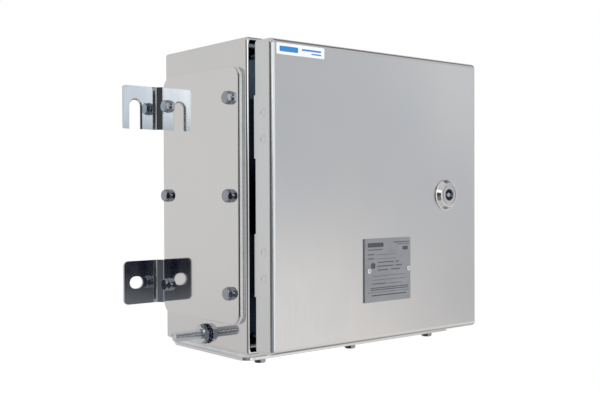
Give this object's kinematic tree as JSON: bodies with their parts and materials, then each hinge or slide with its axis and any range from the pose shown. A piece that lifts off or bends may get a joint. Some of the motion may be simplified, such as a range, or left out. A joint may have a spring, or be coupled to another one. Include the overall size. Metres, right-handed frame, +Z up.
{
  "type": "fused disconnect switch enclosure",
  "caption": "Wall-mounted stainless steel box with a hinged, quarter-turn locked door, gland plates, wall lugs and an earth stud, holding a fused rotary disconnect switch.",
  "frame": {"origin": "on the wall plane, midway between the two lower fixing slots", "axes": "+X to the right of a person facing the door, +Y into the wall, +Z up"},
  "size_m": [0.401, 0.1945, 0.3186],
  "materials": {
    "body_sheet": "brushed stainless sheet",
    "door_sheet": "fine satin stainless sheet",
    "gland_plate_steel": "smooth stainless plate",
    "gland_gasket_rubber": "pale foam rubber",
    "seal_rubber": "black foam rubber",
    "lug_steel": "polished stainless strip",
    "bolt_steel": "stainless fasteners",
    "inner_fastener_steel": "zinc plated fasteners",
    "stud_steel": "threaded stainless stud and nuts",
    "hinge_steel": "stainless hinge leaves and keeper",
    "mounting_plate_steel": "galvanised sheet",
    "rail_steel": "zinc plated strip",
    "terminal_plastic": "grey-beige moulding",
    "earth_terminal_plastic": "green moulding",
    "bar_brass": "extruded brass",
    "post_plastic": "red-brown insulator",
    "clamp_screw_steel": "plated screws",
    "switch_base_plastic": "black moulding",
    "switch_housing_plastic": "grey moulding",
    "escutcheon_metal": "satin anodised disc",
    "contact_copper": "tinned copper strip",
    "fuse_ceramic": "glazed ceramic tube",
    "fuse_cap_metal": "nickel plated caps",
    "cover_plastic": "dark grey moulding",
    "cover_hinge_steel": "plated wire",
    "handle_plastic": "red moulding",
    "shaft_steel": "turned steel",
    "nameplate_metal": "satin printed plate",
    "rivet_metal": "bright rivets",
    "label_film": "white film",
    "lock_chrome": "polished chrome",
    "lock_insert_metal": "nickel plated barrel",
    "cam_steel": "zinc plated cam"
  },
  "bodies": {
    "enclosure": {"enclosure_body": "body_sheet", "sealing_frame": "body_sheet", "side_gland_plate": "gland_plate_steel", "base_gland_plate": "gland_plate_steel", "side_gland_gasket": "gland_gasket_rubber", "base_gland_gasket": "gland_gasket_rubber", "lug_seals": "seal_rubber", "upper_left_lug": "lug_steel", "upper_right_lug": "lug_steel", "lower_left_lug": "lug_steel", "lower_right_lug": "lug_steel", "gland_bolts": "bolt_steel", "gland_washers": "bolt_steel", "m6_nuts": "inner_fastener_steel", "lug_screws": "inner_fastener_steel", "plate_screws": "inner_fastener_steel", "keeper_rivets": "inner_fastener_steel", "earth_stud": "stud_steel", "earth_stud_nuts": "stud_steel", "earth_toothed_washer": "stud_steel", "hinge_body_leaves": "hinge_steel", "hinge_pins": "hinge_steel", "lock_keeper": "hinge_steel", "mounting_plate": "mounting_plate_steel", "mounting_studs": "mounting_plate_steel", "din_rail": "rail_steel", "feed_terminals": "terminal_plastic", "end_clamps": "terminal_plastic", "earth_terminals": "earth_terminal_plastic", "earth_bar": "bar_brass", "earth_bar_posts": "post_plastic", "earth_bar_screws": "clamp_screw_steel", "terminal_screws": "clamp_screw_steel", "switch_base": "switch_base_plastic", "switch_housing": "switch_housing_plastic", "switch_escutcheon": "escutcheon_metal", "line_contacts": "contact_copper", "fuse_links": "contact_copper", "fuse_clips": "contact_copper", "load_terminals": "contact_copper", "fuse_bodies": "fuse_ceramic", "fuse_caps": "fuse_cap_metal", "cover_hinge": "cover_hinge_steel"},
    "door": {"door_panel": "door_sheet", "door_gasket": "seal_rubber", "hinge_door_leaves": "hinge_steel", "nameplate": "nameplate_metal", "nameplate_rivets": "rivet_metal", "identification_label": "label_film", "lock_housing": "lock_chrome", "lock_seal": "seal_rubber", "lock_nut": "cam_steel"},
    "lock": {"lock_insert": "lock_insert_metal", "lock_cam": "cam_steel", "lock_cam_screw": "cam_steel"},
    "handle": {"switch_handle": "handle_plastic", "switch_shaft": "shaft_steel"},
    "carriage": {"contact_carriage": "switch_housing_plastic", "moving_contacts": "contact_copper"},
    "cover": {"fuse_cover": "cover_plastic"}
  },
  "joints": [
    {"name": "door_hinge", "type": "hinge", "parent": "enclosure", "child": "door", "pos_m": [-0.145, -0.1635, 0.092], "axis": [0, 0, -1], "range_deg": [0, 110]},
    {"name": "lock_turn", "type": "hinge", "parent": "door", "child": "lock", "pos_m": [0.0955, -0.17, 0.092], "axis": [0, 1, 0], "range_deg": [0, 90]},
    {"name": "handle_turn", "type": "hinge", "parent": "enclosure", "child": "handle", "pos_m": [-0.02, -0.1, 0.154], "axis": [0, -1, 0], "range_deg": [0, 90]},
    {"name": "carriage_slide", "type": "slide", "parent": "enclosure", "child": "carriage", "axis": [0, 0, 1], "range_m": [0, 0.012]},
    {"name": "cover_hinge_turn", "type": "hinge", "parent": "enclosure", "child": "cover", "pos_m": [-0.02, -0.0905, 0.0475], "axis": [1, 0, 0], "range_deg": [0, 90]}
  ],
  "couplings": [
    {"joint": "carriage_slide", "follows": "handle_turn", "m_per_rad": 0.0076394}
  ]
}
